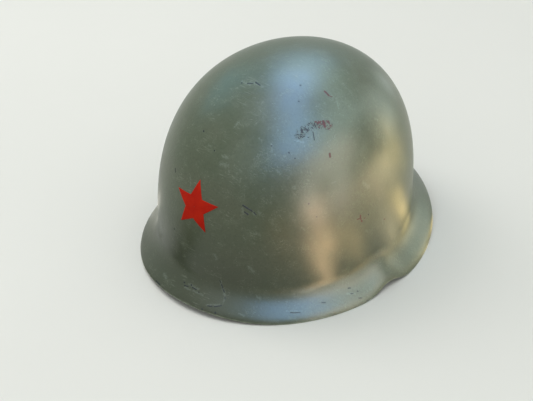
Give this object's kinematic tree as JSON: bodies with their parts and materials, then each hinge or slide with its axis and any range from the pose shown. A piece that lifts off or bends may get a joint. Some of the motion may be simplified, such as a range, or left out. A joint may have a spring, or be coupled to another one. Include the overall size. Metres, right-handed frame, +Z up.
{
  "type": "combat helmet",
  "caption": "Two-piece combat helmet: flared steel shell with a red star, over a separate liner with webbing, sweatband and chin strap.",
  "frame": {"origin": "on the floor under the middle of the helmet, rim down", "axes": "+Z up, -Y to the front (visor), +X to the wearer's left, +Y to the nape"},
  "size_m": [0.2374, 0.2824, 0.174],
  "materials": {
    "steel_paint": "satin olive paint over pressed steel, scuffed",
    "star_paint": "flat red paint",
    "bare_steel": "dull plated steel",
    "brass": "darkened brass",
    "liner_resin": "moulded resin and cloth, painted dull olive",
    "webbing": "herringbone cotton web",
    "sweat_leather": "soft tan leather",
    "strap_leather": "brown strap leather"
  },
  "bodies": {
    "liner": {"liner_shell": "liner_resin", "crown_web_front_left": "webbing", "crown_web_side": "webbing", "crown_web_front_right": "webbing", "head_web": "webbing", "head_rivets": "brass", "a_washers": "bare_steel", "nape_web": "webbing", "nape_rivets": "brass", "nape_washers": "bare_steel", "sweatband": "sweat_leather", "sweatband_clips": "bare_steel", "chin_studs": "brass"},
    "shell": {"steel_shell": "steel_paint", "front_star": "star_paint", "bale_brackets": "steel_paint"},
    "left_bale": {"bale_left": "bare_steel"},
    "right_bale": {"bale_right": "bare_steel"},
    "size_slide": {"sweatband_slide": "bare_steel"},
    "chin_strap": {"strap_hook_left": "bare_steel", "strap_hook_right": "bare_steel", "chin_strap_long": "strap_leather", "chin_strap_short": "strap_leather", "hook_rivets": "brass", "buckle_frame": "brass", "buckle_pin": "bare_steel"},
    "lever": {"buckle_lever": "brass"},
    "keeper": {"strap_keeper": "strap_leather"}
  },
  "joints": [
    {"name": "shell_lift", "type": "slide", "parent": "liner", "child": "shell", "axis": [0, 0, 1], "range_m": [0, 0.2]},
    {"name": "left_bale_swing", "type": "hinge", "parent": "shell", "child": "left_bale", "pos_m": [0.10737, -0.00683, 0.01072], "axis": [0, 1, 0], "range_deg": [-30, 60]},
    {"name": "right_bale_swing", "type": "hinge", "parent": "shell", "child": "right_bale", "pos_m": [-0.10737, -0.00683, 0.01072], "axis": [0, -1, 0], "range_deg": [-30, 60]},
    {"name": "size_slide_travel", "type": "slide", "parent": "liner", "child": "size_slide", "axis": [1, 0, 0], "range_m": [-0.004, 0.004]},
    {"name": "chin_strap_swing", "type": "hinge", "parent": "liner", "child": "chin_strap", "pos_m": [0, -0.0045, 0.034], "axis": [1, 0, 0], "range_deg": [0, 145]},
    {"name": "lever_turn", "type": "hinge", "parent": "chin_strap", "child": "lever", "pos_m": [0.06778, -0.06229, 0.01577], "axis": [0, -0.3009, 0.9536], "range_deg": [0, 110]},
    {"name": "keeper_travel", "type": "slide", "parent": "chin_strap", "child": "keeper", "axis": [0.6691, 0.7087, 0.2236], "range_m": [-0.006, 0.006]}
  ]
}
